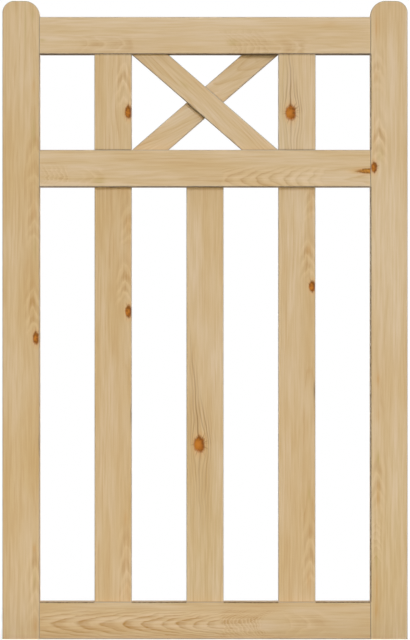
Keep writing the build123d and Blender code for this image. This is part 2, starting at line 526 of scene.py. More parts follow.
class ArchEffect(Effect):
    """Nested arches, where the saw ran out through the growth rings at a slant."""

    NAME = "arches"
    VECTORS_IN = ("board", "centre")
    NUMBERS_IN = (
        "half_width", "length", "bend", "droop", "bands", "crowding", "softness", "start", "near", "fade",
        "sharpness", "legs",
    )
    NUMBERS_OUT = ("dark", "pale", "place")
    WANDER_SCALE = (60.0, 60.0, 22.0)
    WANDER_REACH = (0.008, 0.0, 0.026)
    RIPPLE_SCALE = (240.0, 240.0, 70.0)
    RIPPLE_REACH = (0.003, 0.0, 0.008)
    FINE_PROFILE = [(0.0, 0.1), (1.0, 0.1), (0.3, 0.0), (0.62, 0.45), (0.84, 1.0), (0.95, 0.3)]
    BROAD_PROFILE = [(0.0, 0.0), (1.0, 0.0), (0.14, 0.6), (0.34, 1.0), (0.52, 0.85), (0.8, 0.1)]
    STRENGTH = (0.6, 1.0)
    NEAR_END = 0.45
    TIP_WIDTH = 0.6
    BEGIN_RATE = 2.0
    BEGIN_LEAST = 0.05
    FOOT = (-0.4, 0.1)
    SIDES = (1.7, 0.2)

    def wire(self, graph: Graph, given: Signals) -> dict[str, Signal]:
        """Count the arches out from the middle of their base and shape each one.

        Args:
            graph: The group's graph.
            given: The group's inputs by name.

        Returns:
            The group's outputs by name.
        """
        wander = graph.drift(given.board, self.WANDER_SCALE) * self.WANDER_REACH
        ripple = graph.drift(given.board, self.RIPPLE_SCALE) * self.RIPPLE_REACH
        across, _, along = (given.board - given.centre + wander + ripple).parts()
        side = across / given.half_width
        out = along / given.length
        bent = out + abs(side) ** given.sharpness * (out * given.bend + given.droop)
        crowd = bent.at_least(0.0) / given.crowding + 1.0
        count = crowd.make("LOGARITHM", crowd, math.e) * given.bands
        step = count.apply("FRACT")
        fine = step.curve(self.FINE_PROFILE)
        arch = fine + (step.curve(self.BROAD_PROFILE) - fine) * given.softness
        chance = graph.chance(count.apply("FLOOR"), given.length)
        strength = chance.between(*self.STRENGTH) * out.ease(0.0, self.NEAR_END, given.near, 1.0)
        tip = (side / self.TIP_WIDTH).bell().between(given.legs, 1.0)
        begun = bent.ease(given.start, given.start * self.BEGIN_RATE + self.BEGIN_LEAST)
        ends = out.ease(1.0, given.fade) * begun * out.ease(*self.FOOT)
        held = ends * (side * side).ease(*self.SIDES)
        return {"dark": arch * strength * held * tip, "pale": (1.0 - arch) * held, "place": held}


class RingEffect(Effect):
    """Growth rings round a pith that leans along the board."""

    NAME = "growth_rings"
    VECTORS_IN = ("flow", "pith", "lean")
    NUMBERS_IN = ("spacing", "wander", "seed")
    NUMBERS_OUT = ("latewood", "tone")
    WANDER = ((24.0, 24.0, 6.0), 1.0)
    RIPPLE = (110.0, 110.0, 22.0)
    RIPPLE_SHARE = (0.35,) * 3
    BREAK_SCALE = (75.0, 75.0, 12.0)
    BREAKS = (0.36, 0.62, 0.2, 1.0)
    PROFILE = [(0.0, 0.0), (1.0, 0.0), (0.4, 0.1), (0.7, 0.42), (0.88, 1.0), (0.96, 0.2)]
    WIDTH_WAVE = ((0.21, 1.0, 1.0), 1.0)
    WIDTH_CHANGE = 2.0

    def wire(self, graph: Graph, given: Signals) -> dict[str, Signal]:
        """Measure the distance from the pith in rings and shape each one from earlywood to latewood.

        Args:
            graph: The group's graph.
            given: The group's inputs by name.

        Returns:
            The group's outputs by name.
        """
        seeded = given.flow + graph.join(given.seed, 0.0, given.seed)
        shiver = graph.drift(seeded, self.RIPPLE) * self.RIPPLE_SHARE
        stray = graph.drift(seeded, *self.WANDER) + shiver
        moved = given.flow + stray * graph.join(given.wander, given.wander, 0.0)
        _, _, along = given.flow.parts()
        pith = given.pith + graph.join(along, along, 0.0) * given.lean
        across, through, _ = (moved - pith).parts()
        rings = graph.join(across, through, 0.0).length() / given.spacing
        wave = graph.sway(graph.join(rings, given.seed, 0.0), *self.WIDTH_WAVE)
        counted = rings + wave * self.WIDTH_CHANGE
        gaps = graph.haze(seeded, self.BREAK_SCALE).ease(*self.BREAKS)
        return {
            "latewood": counted.apply("FRACT").curve(self.PROFILE) * gaps,
            "tone": graph.chance(counted.apply("FLOOR"), given.seed),
        }


class FibreEffect(Effect):
    """What runs along the grain whatever the rings do: bands, streaks, fine fibres and clouds."""

    NAME = "fibre"
    VECTORS_IN = ("flow",)
    NUMBERS_IN = ("seed",)
    SCALES = {
        "band": (60.0, 60.0, 2.4),
        "streak": (330.0, 330.0, 16.0),
        "fibre": (900.0, 900.0, 30.0),
        "cloud": (16.0, 16.0, 5.0),
    }
    NUMBERS_OUT = tuple(SCALES)
    SPREAD = (0.3, 0.7)

    def wire(self, graph: Graph, given: Signals) -> dict[str, Signal]:
        """Stretch four noises along the grain."""
        seeded = given.flow + graph.join(given.seed, given.seed, 0.0)
        return {name: graph.haze(seeded, scale).ease(*self.SPREAD) for name, scale in self.SCALES.items()}


class FacingEffect(Effect):
    """Marks the faces that cut across the fibres, and the eased corners along a board, which get painted
    shade.
    """

    NAME = "facing"
    VECTORS_IN = ("direction",)
    NUMBERS_OUT = ("end", "arris")
    END = (0.55, 0.95)
    ARRIS = (0.02, 0.2)

    def wire(self, graph: Graph, given: Signals) -> dict[str, Signal]:
        """Compare the face's own direction with the grain's and with the gate's front.

        Args:
            graph: The group's graph.
            given: The group's inputs by name.

        Returns:
            The group's outputs by name.
        """
        facing = graph.read("NewGeometry", "Normal")
        _, front, _ = facing.parts()
        square = front * front
        slant = square * (1.0 - square)
        return {"end": abs(facing.dot(given.direction)).ease(*self.END), "arris": slant.ease(*self.ARRIS)}


class StainEffect(Effect):
    """A discoloured patch, broken up into streaks along the grain."""

    NAME = "stain"
    VECTORS_IN = ("board", "centre", "half_size")
    NUMBERS_IN = ("streak",)
    NUMBERS_OUT = ("mask",)
    STREAKS = (0.0, 0.8, 0.5, 1.0)

    def wire(self, graph: Graph, given: Signals) -> dict[str, Signal]:
        """Fade out from the patch's centre and keep the streaks."""
        ratio = (given.board - given.centre) / given.half_size
        return {"mask": ratio.length().bell() * given.streak.ease(*self.STREAKS)}


class SeamAndShadeEffect(Effect):
    """Thin dark lines on a board's front: dark joints, bark lines and painted shade along edges."""

    NAME = "seam"
    VECTORS_IN = ("board", "centre", "along")
    NUMBERS_IN = ("half_length", "half_width", "depth")
    NUMBERS_OUT = ("mask",)
    END = 0.0015
    BREAK_SCALE = (220.0,) * 3
    BREAKS = (0.35, 0.65, 0.65, 1.0)

    def wire(self, graph: Graph, given: Signals) -> dict[str, Signal]:
        """Fade out to both sides of the line, past its ends and behind it, and break it up a little.

        Args:
            graph: The group's graph.
            given: The group's inputs by name.

        Returns:
            The group's outputs by name.
        """
        offset = given.board - given.centre
        across = given.along.make("CROSS_PRODUCT", given.along, BACKWARD)
        aside = offset.dot(across) / given.half_width
        inside = given.half_length - abs(offset.dot(given.along))
        _, behind, _ = offset.parts()
        shallow = behind.ease(given.depth, 0.0)
        uneven = graph.haze(given.board, self.BREAK_SCALE).ease(*self.BREAKS)
        return {"mask": aside.bell() * inside.ease(-self.END, self.END) * shallow * uneven}


@dataclass(frozen=True)
class Mark:
    """Something that shows on a board, placed on the gate as seen from the front.

    Attributes:
        x: Place across the gate, in metres from its centre.
        z: Height on the gate, in metres.
    """

    x: float
    z: float


@dataclass(frozen=True)
class Knot(Mark):
    """A knot.

    Attributes:
        half_width: Half its size across the grain, in metres.
        half_length: Half its size along the grain, in metres.
        parting: How far it pushes the grain aside, as a share.
        lift: How far it lifts the rings towards the face, in metres.
        reach: How far along the grain it does so, as a multiple of its length.
        split: Length of the dark fibres that run at it, in metres.
        lean: Slope of those fibres across the grain.
        age: How much of it is dark.
        golden: Share of golden heartwood in it.
    """

    half_width: float
    half_length: float
    parting: float = 0.7
    lift: float = 0.0015
    reach: float = 2.0
    split: float = 0.0001
    lean: float = 0.0
    age: float = 0.34
    golden: float = 0.0


@dataclass(frozen=True)
class Arches(Mark):
    """A run of nested arches, placed by its base.

    Attributes:
        half_width: Half their size across the grain, in metres.
        length: How far they run along the grain, in metres: to the left or down where it is negative.
        bend: How sharply the far ones bend.
        droop: How sharply all of them bend.
        bands: How many there are to each stretch that is e times as long as the one before.
        crowding: How far from the base they crowd together, as a share of the length.
        softness: 0 for fine lines and 1 for broad bands.
        start: How far from the base they begin, as a share of the length.
        strength: How strongly they show.
        near: Share of that strength at their base.
        fade: Where they start to fade out, as a share of the length.
        sharpness: 1 for a sharp point and 2 for a round one.
        legs: Strength of their legs, as a share of the tip's.
        pale: Strength of the paler wood between them, as a share of theirs.
    """

    half_width: float = 0.015
    length: float = 0.117
    bend: float = 0.3
    droop: float = 0.16
    bands: float = 3.0
    crowding: float = 0.38
    softness: float = 0.8
    start: float = 0.0
    strength: float = 0.8
    near: float = 0.25
    fade: float = 0.4
    sharpness: float = 1.4
    legs: float = 0.45
    pale: float = 0.5


@dataclass(frozen=True)
class Stain(Mark):
    """A discoloured patch.

    Attributes:
        half_width: Half its size across the grain, in metres.
        half_length: Half its size along the grain, in metres.
        kind: What it is.
        strength: How strongly it shows.
        depth: How far it goes into the board, in metres.
    """

    half_width: float
    half_length: float
    kind: StainKind
    strength: float
    depth: float = 0.012


@dataclass(frozen=True)
class SeamAndShade(Mark):
    """A thin dark line, placed by its middle. It draws dark joints and bark lines, and painted shade along
    edges.

    Attributes:
        length: Its length, in metres.
        slope: Its turn from level, in radians.
        strength: How strongly it shows.
        half_width: Half its width, in metres.
        depth: How far it goes back from the board's face, in metres.
    """

    length: float
    slope: float = 0.0
    strength: float = 0.5
    half_width: float = 0.0011
    depth: float = 0.004


@dataclass(frozen=True)
class Board:
    """One timber and the way it was cut from the log.

    Attributes:
        node: Name of the timber's node.
        grain: Which way the grain runs.
        pith: Place of the pith across and through the board, in metres from its centre.
        lean: How the pith leans across and through, in metres per metre along.
        spacing: Width of a growth ring, in metres.
        wander: How far the rings stray from round, in metres.
        seed: Place of the board's noises.
        tone: Share of the warmer colour.
        contrast: How strongly the rings show.
        skew: Turn of the grain away from the board's length, in radians.
        knots: The board's knots.
        arches: Its runs of nested arches.
        stains: Its discoloured patches.
        seams_and_shade: Thin dark lines on its front, from dark joints, bark lines and painted shade.
    """

    node: str
    grain: Grain
    pith: Span
    lean: Span = (0.0, 0.0)
    spacing: float = 0.0038
    wander: float = 0.006
    seed: float = 0.0
    tone: float = 0.4
    contrast: float = 0.6
    skew: float = 0.0
    knots: tuple[Knot, ...] = ()
    arches: tuple[Arches, ...] = ()
    stains: tuple[Stain, ...] = ()
    seams_and_shade: tuple[SeamAndShade, ...] = ()

    def turn(self, brace_angle: float) -> float:
        """Return the turn about Y that lays the grain along the pattern's own Z axis.

        Args:
            brace_angle: Slope of the braces, in radians.

        Returns:
            The turn, in radians.
        """
        turns = {
            Grain.UPRIGHT: 0.0,
            Grain.LEVEL: -math.pi / 2,
            Grain.FALLING: -math.pi / 2 - brace_angle,
            Grain.RISING: -math.pi / 2 + brace_angle,
        }
        return turns[self.grain] + self.skew


class BoardSpace:
    """A board's own space, about its middle: across its face, through it and along its grain."""

    def __init__(self, graph: Graph, board: Board, brace_angle: float) -> None:
        """Map the gate's space onto the board's.

        Args:
            graph: The material's graph.
            board: The board.
            brace_angle: Slope of the braces, in radians.
        """
        low, high = (Vector(corner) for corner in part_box(board.node))
        turn = Euler((0.0, board.turn(brace_angle), 0.0))
        shift = -(turn.to_matrix() @ ((low + high) / 2))
        inputs = {"Vector": graph.read("TexCoord", "Object"), "Rotation": turn, "Location": shift}
        self.vector = graph.wrap(graph.node("Mapping", inputs, vector_type="POINT").outputs[0])
        self.turned = turn.to_matrix()
        self.place = Matrix.Translation(shift) @ self.turned.to_4x4()
        self.front = (low.y - high.y) / 2

    def grain(self) -> Triple:
        """Return the way that the grain runs in the gate's space."""
        return tuple(self.turned.inverted() @ Vector((0.0, 0.0, 1.0)))

    def spot(self, mark: Mark, through: float = 0.0) -> Triple:
        """Return where a mark lies in this space, at some depth through the board."""
        found = self.place @ Vector((mark.x, 0.0, mark.z))
        return (found.x, through, found.z)


@dataclass(frozen=True)
class WoodFinish:
    """What all wooden finishes have besides their colours.

    Attributes:
        specular: How strongly the wood shines.
        bump_depth: Depth of its relief, in metres.
        bump_strength: How strongly the relief shows.
    """

    specular: float = 0.1
    bump_depth: float = 0.0003
    bump_strength: float = 0.3

    def shade(self, graph: Graph, colour: Signal, rough: Signal, height: Signal) -> None:
        """Give a material its shader.

        Args:
            graph: The material's graph.
            colour: Colour of the wood.
            rough: Its roughness.
            height: Height of its relief, as a share of the depth.
        """
        relief = {"Strength": self.bump_strength, "Distance": self.bump_depth, "Height": height}
        normal = graph.node("Bump", relief).outputs[0]
        looks = {"Base Color": colour, "Roughness": rough, "Normal": normal}
        graph.surface({**looks, "Specular IOR Level": self.specular})


@dataclass(frozen=True)
class PineFinish(WoodFinish):
    """Bare planed pine, its colours written as they show in daylight."""

    early: Colour = linear(208, 185, 153)
    early_warm: Colour = linear(198, 168, 122)
    late: Colour = linear(186, 147, 92)
    band_shade: Colour = (0.95, 0.91, 0.83, 1.0)
    streak_shade: Colour = (0.935, 0.895, 0.82, 1.0)
    # Painted grey shade on the eased corners.
    arris: Colour = linear(152, 146, 136)
    end_shade: Colour = (0.80, 0.74, 0.66, 1.0)
    arch_dark: Colour = linear(172, 130, 72)
    arch_pale: Colour = linear(221, 196, 158)
    knot_heart: Colour = linear(184, 112, 34)
    knot: Colour = linear(154, 87, 24)
    knot_golden: Colour = linear(192, 140, 58)
    knot_rim: Colour = linear(110, 64, 18)
    glow: Colour = linear(206, 154, 92)
    crack: Colour = linear(126, 88, 44)
    # Colour of dark joints and bark lines, also used as painted shade along shaded edges.
    seam: Colour = linear(72, 50, 22)
    stains: ClassVar[dict[StainKind, Colour]] = {
        StainKind.RESIN: linear(190, 140, 74),
        StainKind.OLIVE: linear(176, 150, 88),
        StainKind.DARK: linear(96, 70, 38),
    }
    cloud_share: float = 0.6
    ring_strength: Span = (0.35, 1.0)
    knot_contrast: float = 0.3
    arch_contrast: float = 0.3
    arch_streaks: Span = (0.6, 1.2)
    arris_shade_share: float = 0.7
    glow_share: float = 0.5
    line_share: float = 0.95
    spike_share: float = 0.55
    rim_share: float = 0.7
    roughness: Span = (0.68, 0.54)
    knot_polish: float = 0.12
    late_height: float = 0.5
    fibre_height: float = 0.5
    knot_height: float = 0.6


class PineCoat:
    """The pine of one board: the masks of all that shows on it, and the material mixed from them."""

    RIGHT_THROUGH: ClassVar[float] = 1.0

    def __init__(self, look: PineFinish, board: Board, brace_angle: float) -> None:
        """Lay the grain, the knots and the arches through the board.

        Args:
            look: Colours and strengths of the wood.
            board: How the board was cut.
            brace_angle: Slope of the braces, in radians.
        """
        self.look = look
        self.board = board
        self.made, self.graph = blank("pine_" + board.node)
        self.space = BoardSpace(self.graph, board, brace_angle)
        flow = self.space.vector
        self.knots = []
        for knot in board.knots:
            size = (knot.half_width, self.RIGHT_THROUGH, knot.half_length)
            self.knots.append(self.masks(KnotEffect(), knot, flow=flow, half_size=size))
            flow = self.knots[-1].flow
        self.arches = [self.masks(ArchEffect(), arch) for arch in board.arches]
        heart = {"pith": (*board.pith, 0.0), "lean": (*board.lean, 0.0)}
        self.rings = RingEffect().place(self.graph, board, flow=flow, **heart)
        self.fibre = FibreEffect().place(self.graph, board, flow=flow)
        self.facing = FacingEffect().place(self.graph, direction=self.space.grain())

    def masks(self, effect: Effect, mark: Mark, through: float = 0.0, **values: Value) -> Signals:
        """Place a mark's effect where the mark lies, at some depth through the board."""
        where = {"board": self.space.vector, "centre": self.space.spot(mark, through)}
        return effect.place(self.graph, mark, **where, **values)

    def material(self) -> bpy.types.Material:
        """Mix the wood and everything on it.

        Returns:
            The finished material.
        """
        look = self.look
        late = self.latewood()
        colour = self.stained(self.clear_wood(late))
        for knot, masks in zip(self.board.knots, self.knots):
            colour = self.knotted(colour, masks, knot.golden)
        # Painted shade: grey the eased corners.
        colour = self.graph.blend(self.facing.arris * look.arris_shade_share, colour, look.arris)
        colour = self.graph.blend(self.facing.end, self.lined(colour), look.end_shade, "MULTIPLY")
        self.join(colour, late)
        return self.made

    def latewood(self) -> Signal:
        """Bring the rings out near knots, and hold them back where arches take their place.

        Returns:
            The share of latewood.
        """
        contrast = self.board.contrast
        for knot in self.knots:
            contrast = knot.swell * self.look.knot_contrast + contrast
        for arch in self.arches:
            contrast = arch.place.between(1.0, self.look.arch_contrast) * contrast
        return self.rings.latewood * self.rings.tone.between(*self.look.ring_strength) * contrast

    def clear_wood(self, late: Signal) -> Signal:
        """Colour the wood between the knots.

        Args:
            late: Share of latewood.

        Returns:
            The wood's colour.
        """
        look, blend, fibre = self.look, self.graph.blend, self.fibre
        warm = fibre.cloud * look.cloud_share + (self.board.tone - look.cloud_share / 2)
        colour = blend(late, blend(warm, look.early, look.early_warm), look.late)
        streaked = fibre.streak.between(*look.arch_streaks)
        for arch, masks in zip(self.board.arches, self.arches):
            colour = blend(masks.pale * (arch.strength * arch.pale), colour, look.arch_pale)
            colour = blend(masks.dark * streaked * arch.strength, colour, look.arch_dark)
        colour = blend(fibre.band, colour, look.band_shade, "MULTIPLY")
        return blend(fibre.streak, colour, look.streak_shade, "MULTIPLY")

    def stained(self, colour: Signal) -> Signal:
        """Lay the board's stains over the wood.

        Args:
            colour: The wood's colour.

        Returns:
            The colour with the stains in it.
        """
        for stain in self.board.stains:
            patch = {
                "half_size": (stain.half_width, stain.depth, stain.half_length),
                "streak": self.fibre.streak,
            }
            mask = self.masks(StainEffect(), stain, self.space.front, **patch).mask
            colour = self.graph.blend(mask * stain.strength, colour, self.look.stains[stain.kind])
        return colour

    def knotted(self, colour: Signal, knot: Signals, golden: float) -> Signal:
        """Lay a knot over the wood.

        Args:
            colour: The wood's colour.
            knot: The knot's masks.
            golden: Share of golden heartwood in it.

        Returns:
            The colour with the knot in it.
        """
        look, blend = self.look, self.graph.blend
        colour = blend(knot.glow * look.glow_share, colour, look.glow)
        colour = blend(knot.lines * look.line_share, colour, look.crack)
        colour = blend(knot.spike * look.spike_share, colour, look.crack)
        inner = blend(golden, blend(knot.depth, look.knot_heart, look.knot), look.knot_golden)
        inner = blend(knot.bark * look.rim_share, inner, look.knot_rim)
        return blend(knot.core, colour, inner)

    def lined(self, colour: Signal) -> Signal:
        """Draw the board's thin dark lines over the wood: dark joints, bark lines and painted shade.

        Args:
            colour: The wood's colour.

        Returns:
            The colour with those lines in it.
        """
        for seam in self.board.seams_and_shade:
            along = self.space.turned @ Vector((math.cos(seam.slope), 0.0, math.sin(seam.slope)))
            line = {"along": tuple(along), "half_length": seam.length / 2}
            mask = self.masks(SeamAndShadeEffect(), seam, self.space.front, **line).mask
            # Dark joints and bark lines, and painted shade along shaded edges.
            colour = self.graph.blend(mask * seam.strength, colour, self.look.seam)
        return colour

    def join(self, colour: Signal, late: Signal) -> None:
        """Add roughness and relief and join the shader.

        Args:
            colour: The board's colour.
            late: Share of latewood, which stands a little proud and shines a little more.
        """
        look = self.look
        rough = late.between(*look.roughness)
        height = late * look.late_height + self.fibre.fibre * look.fibre_height
        for knot in self.knots:
            rough = rough - knot.core * look.knot_polish
            height = height + knot.core * look.knot_height
        look.shade(self.graph, colour, rough, height)


@dataclass(frozen=True)
class HardwoodFinish(WoodFinish):
    """Pegs, wedges and dowels of pale hardwood, cut off flush so that their end grain shows."""

    name: str = "hardwood"
    pale: Colour = linear(190, 150, 102)
    dark: Colour = linear(140, 98, 58)
    ring_scale: Triple = (320.0, 40.0, 320.0)
    ring_spread: Span = (0.35, 0.65)
    pore_scale: Triple = (1400.0, 90.0, 1400.0)
    pore_spread: Span = (0.6, 0.7)
    pore_share: float = 0.6
    specular: float = 0.25
    roughness: Span = (0.55, 0.75)
    rough_spread: Span = (0.3, 0.7)
    bump_strength: float = 0.4

    def material(self) -> bpy.types.Material:
        """Build the finish.

        Returns:
            The material.
        """
        made, graph = blank(self.name)
        place = graph.read("TexCoord", "Object")
        pores = graph.haze(place, self.pore_scale)
        rings = graph.haze(place, self.ring_scale).ease(*self.ring_spread)
        colour = graph.blend(rings, self.pale, self.dark)
        colour = graph.blend(pores.ease(*self.pore_spread, 0.0, self.pore_share), colour, self.dark)
        rough = pores.ease(*self.rough_spread, *self.roughness)
        self.shade(graph, colour, rough, pores)
        return made


@dataclass(frozen=True)
class PlatedSteelFinish:
    """Dull plated steel of the pins and the screw, with a few dark spots."""

    name: str = "plated_steel"
    bright: Colour = linear(176, 172, 160)
    dull: Colour = linear(112, 104, 90)
    spots: tuple = ((900.0, 900.0, 900.0), 3.0, 0.6)
    spot_spread: Span = (0.45, 0.7)
    roughness: Span = (0.34, 0.6)

    def material(self) -> bpy.types.Material:
        """Build the finish.

        Returns:
            The material.
        """
        made, graph = blank(self.name)
        worn = graph.haze(graph.read("TexCoord", "Object"), *self.spots).ease(*self.spot_spread)
        colour = graph.blend(worn, self.bright, self.dull)
        graph.surface({"Base Color": colour, "Roughness": worn.between(*self.roughness), "Metallic": 1.0})
        return made


@dataclass
class Timbers:
    """The gate's stiles, rails, bars and braces."""

    boards: list[Board]
    brace_face: float = 0.045
    finish: PineFinish = field(default_factory=PineFinish)

    def brace_angle(self) -> float:
        """Work out the slope of the braces from the panel that they cross.

        Returns:
            The slope, in radians.
        """
        low, high = (Vector(corner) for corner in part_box("front_brace"))
        width, _, height = high - low
        return math.atan2(height, width) + math.asin(self.brace_face / math.hypot(width, height))

    def dress(self) -> None:
        """Give every timber its own pine."""
        angle = self.brace_angle()
        for board in self.boards:
            material = PineCoat(self.finish, board, angle).material()
            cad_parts[board.node].material_slots[0].material = material
            log.info("%s: pine, %s grain, %d knots", board.node, board.grain.value, len(board.knots))


@dataclass
class Fastenings:
    """What holds the timbers together: pegs, wedges, dowels, pins and the screw."""

    wooden: tuple[str, ...] = (
        "top_rail_wedges",
        "middle_rail_wedges",
        "bottom_rail_wedges",
        "top_rail_pegs",
        "middle_rail_pegs",
        "bottom_rail_pegs",
        "brace_end_dowels",
    )
    steel: tuple[str, ...] = ("upper_bar_pins", "lower_bar_pins", "brace_screw")

    def dress(self) -> None:
        """Give the fastenings their two finishes."""
        for names, finish in ((self.wooden, HardwoodFinish()), (self.steel, PlatedSteelFinish())):
            material = finish.material()
            for name in names:
                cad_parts[name].material_slots[0].material = material
                log.info("%s: %s", name, finish.name)


@dataclass(frozen=True)
class Lobe:
    """Soft light from one side.

    Attributes:
        way: Where it comes from.
        strength: How bright it is in the middle.
        colour: Its colour.
        focus: How narrow it is.
        level: Whether it is kept to the band at eye level.
    """

    way: Triple
    strength: float
    colour: Triple
    focus: float
    level: bool = True


@dataclass
class Studio:
    """Pale floor, white surround, soft light from all sides, a key light and the camera."""

    floor_half_width: float = 1.6
    floor_front: float = -1.0
    floor_back: float = 0.85
    floor_colour: Colour = (0.25, 0.25, 0.25, 1.0)
    floor_seen: Colour = (0.5, 0.5, 0.5, 1.0)
    floor_glow: float = 0.63
    lobes: tuple[Lobe, ...] = (
        Lobe((0.0, -1.0, 0.0), 5.8, (1.06, 1.01, 0.82), 1.5),
        Lobe((0.0, 1.0, 0.0), 13.0, (0.97, 1.0, 1.03), 3.0),
        Lobe((1.0, 0.0, 0.0), 6.0, (1.0, 1.0, 1.0), 6.0),
        Lobe((-1.0, 0.0, 0.0), 4.5, (1.0, 1.0, 1.0), 6.0),
        Lobe((0.0, 0.0, 1.0), 2.2, (1.0, 1.0, 1.0), 8.0, level=False),
    )
    surround: Colour = (1.0, 1.0, 1.0, 1.0)
    fill_round: Triple = (0.03, 0.03, 0.025)
    fill_rise: float = 0.06
    fill_height: float = 0.11
    key_side: float = 0.38
    key_rise: float = 0.46
    key_spread_degrees: float = 3.0
    key_strength: float = 1.36
    key_colour: Triple = (0.88, 1.0, 1.28)
    camera_distance: float = 8.6
    image_height_px: float = 640.0
    gate_height_px: float = 638.2
    sensor_height: float = 36.0

    def build(self) -> None:
        """Set up the whole studio."""
        bpy.context.scene.view_settings.view_transform = "Standard"
        self.add_floor()
        self.add_surround()
        self.add_key()
        self.add_camera()

    def add_floor(self) -> None:
        """Lay a plain floor that looks near white, keeps the gate's shadow and throws little light up."""
        half_depth = (self.floor_back - self.floor_front) / 2
        middle = (0.0, (self.floor_back + self.floor_front) / 2, 0.0)
        size = (self.floor_half_width, half_depth, 1.0, 1.0)
        spread = Matrix.Translation(middle) @ Matrix.Diagonal(size)
        sheet = bmesh.new()
        bmesh.ops.create_grid(sheet, x_segments=1, y_segments=1, size=1.0, matrix=spread)
        mesh = bpy.data.meshes.new("studio_floor")
        sheet.to_mesh(mesh)
        sheet.free()
        floor = bpy.data.objects.new("studio_floor", mesh)
        bpy.context.scene.collection.objects.link(floor)
        material, graph = blank("studio_floor")
        seen = graph.read("LightPath", "Is Camera Ray").at_least(graph.read("LightPath", "Is Glossy Ray"))
        matt = graph.node("BsdfDiffuse", {"Color": graph.blend(seen, self.floor_colour, self.floor_seen)})
        glow = graph.node("Emission", {"Strength": seen * self.floor_glow})
        both = graph.node("AddShader", {0: matt.outputs[0], 1: glow.outputs[0]})
        graph.node("OutputMaterial", {"Surface": both.outputs[0]})
        mesh.materials.append(material)
        log.info("studio_floor: %.1f m wide", 2 * self.floor_half_width)

    def add_surround(self) -> None:
        """Surround the gate with white for the camera, and with a soft fill for everything else."""
        world = bpy.data.worlds.new("studio")
        bpy.context.scene.world = world
        world.use_nodes = True
        graph = Graph(world.node_tree)
        seen = graph.read("LightPath", "Is Camera Ray")
        for ray in ("Is Glossy Ray", "Is Transmission Ray"):
            seen = seen.at_least(graph.read("LightPath", ray))
        sky = graph.read("TexCoord", "Generated")
        _, _, height = sky.parts()
        band = ((height - self.fill_rise) / self.fill_height).bell()
        light = graph.join(*self.fill_round)
        for lobe in self.lobes:
            level = sky.dot(lobe.way).at_least(0.0) ** lobe.focus * lobe.strength
            if lobe.level:
                level = level * band
            light = light + graph.join(level, level, level) * lobe.colour
        white = graph.node("Background", {"Color": self.surround})
        fill = graph.node("Background", {"Color": light})
        mix = graph.node("MixShader", {0: seen, 1: fill.outputs[0], 2: white.outputs[0]})
        graph.node("OutputWorld", {"Surface": mix.outputs[0]})

    def add_key(self) -> None:
        """Light the gate evenly from the upper right, in front."""
        way = Vector((self.key_side, -1.0, self.key_rise))
        lamp = bpy.data.lights.new("key", "SUN")
        lamp.energy = self.key_strength
        lamp.angle = math.radians(self.key_spread_degrees)
        lamp.color = self.key_colour
        key = bpy.data.objects.new("key", lamp)
        key.location = way * self.camera_distance
        key.rotation_euler = way.to_track_quat("Z", "Y").to_euler()
        bpy.context.scene.collection.objects.link(key)

    def add_camera(self) -> None:
        """Put the camera straight in front of the leaf, level with its middle."""
        low, high = (Vector(corner) for corner in CAD_BOX)
        lens = bpy.data.cameras.new("camera")
        lens.sensor_fit = "VERTICAL"
        lens.sensor_height = self.sensor_height
        seen = (high.z - low.z) * self.image_height_px / self.gate_height_px
        lens.lens = self.sensor_height * self.camera_distance / seen
        camera = bpy.data.objects.new("camera", lens)
        camera.location = (0.0, low.y - self.camera_distance, (low.z + high.z) / 2)
        camera.rotation_euler = (math.pi / 2, 0.0, 0.0)
        bpy.context.scene.collection.objects.link(camera)
        bpy.context.scene.camera = camera


RESIN, OLIVE, DARK = StainKind
BAR_WIDTH = 0.070
BAR_PITCH = 0.173
# Middles of the four lower openings across the gate.
LOWER_OPENINGS = tuple(BAR_PITCH * step for step in (-1.5, -0.5, 0.5, 1.5))
# Middle height and length of the openings beside a stile.
STILE_OPENINGS = ((0.460, 0.780), (1.010, 0.180))
# Height and strength of the lines at the ends of a short bar: dark joints, with painted shade under the
# top rail.
BAR_END_LINES = ((1.0990, 0.6), (0.9206, 0.45))
# Turn from level of the lines where the rear brace passes behind the front one: a joint line, and the
# front brace's painted shadow.
CROSSING_SLOPE = -0.715


def stile_edge_shade(x: float, **looks: float) -> tuple[SeamAndShade, ...]:
    """Paint shade along a stile's inner edge beside the lower and the upper openings."""
    return tuple(SeamAndShade(x, z, length, math.pi / 2, **looks) for z, length in STILE_OPENINGS)


def bar_ends(x: float) -> tuple[SeamAndShade, ...]:
    """Line a short bar's two ends, where it meets the rails: dark joints, with painted shade under the top
    rail.
    """
    return tuple(SeamAndShade(x, z, BAR_WIDTH, strength=strength) for z, strength in BAR_END_LINES)


def rail_edge_shade(z: float, **looks: float) -> tuple[SeamAndShade, ...]:
    """Paint shade along a rail's top edge below each of the lower openings."""
    return tuple(SeamAndShade(x, z, BAR_PITCH - BAR_WIDTH, **looks) for x in LOWER_OPENINGS)


